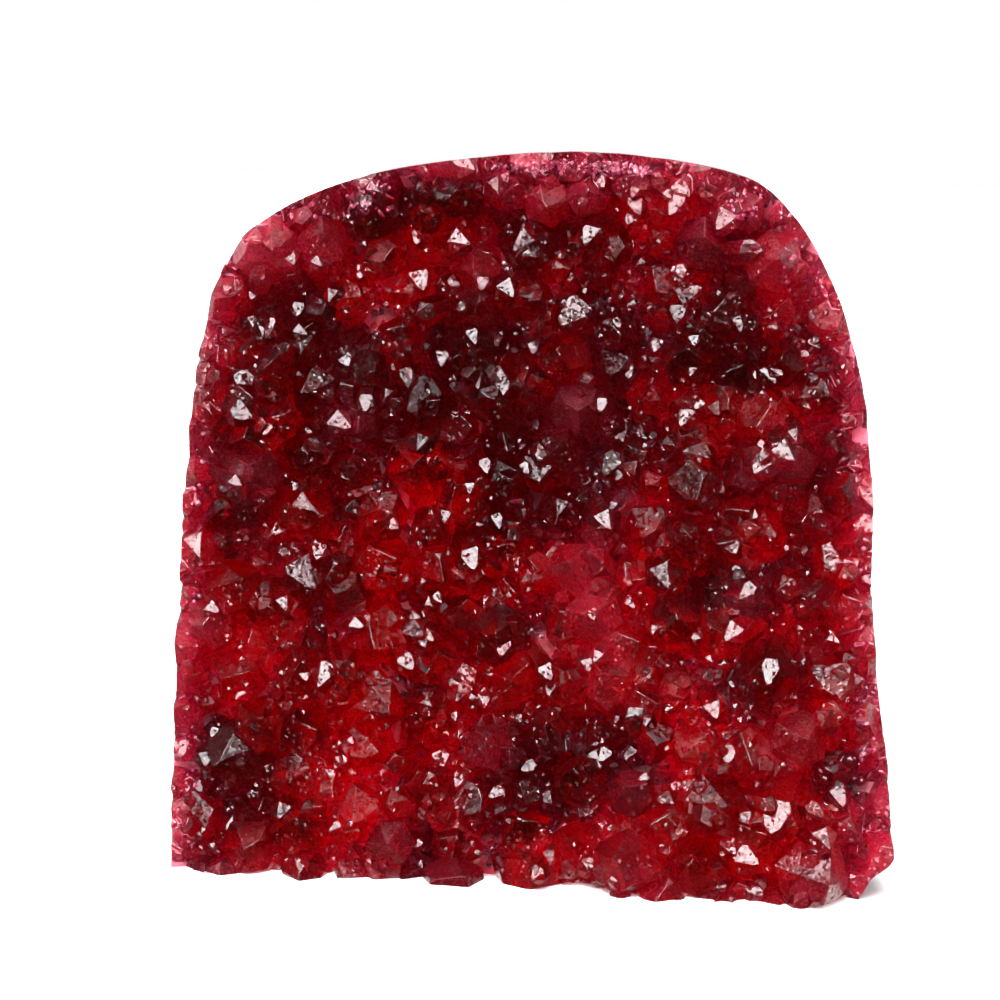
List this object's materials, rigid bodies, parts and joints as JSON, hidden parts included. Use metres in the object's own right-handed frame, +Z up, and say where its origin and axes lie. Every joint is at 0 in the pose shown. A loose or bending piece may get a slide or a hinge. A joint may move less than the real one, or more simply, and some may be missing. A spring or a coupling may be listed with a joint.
{
  "type": "quartz geode",
  "caption": "Free-standing piece of a geode wall with a flat sawn foot and an arched ground edge, its front covered in short six-sided red quartz crystals.",
  "frame": {"origin": "under the middle of the piece, on the plane of its sawn foot", "axes": "+Z up, the crystal front faces -Y, +X to the right as seen from the front"},
  "size_m": [0.11, 0.0566, 0.111],
  "materials": {
    "quartz": "gloss"
  },
  "bodies": {
    "root": {"geode": "quartz"}
  },
  "joints": []
}
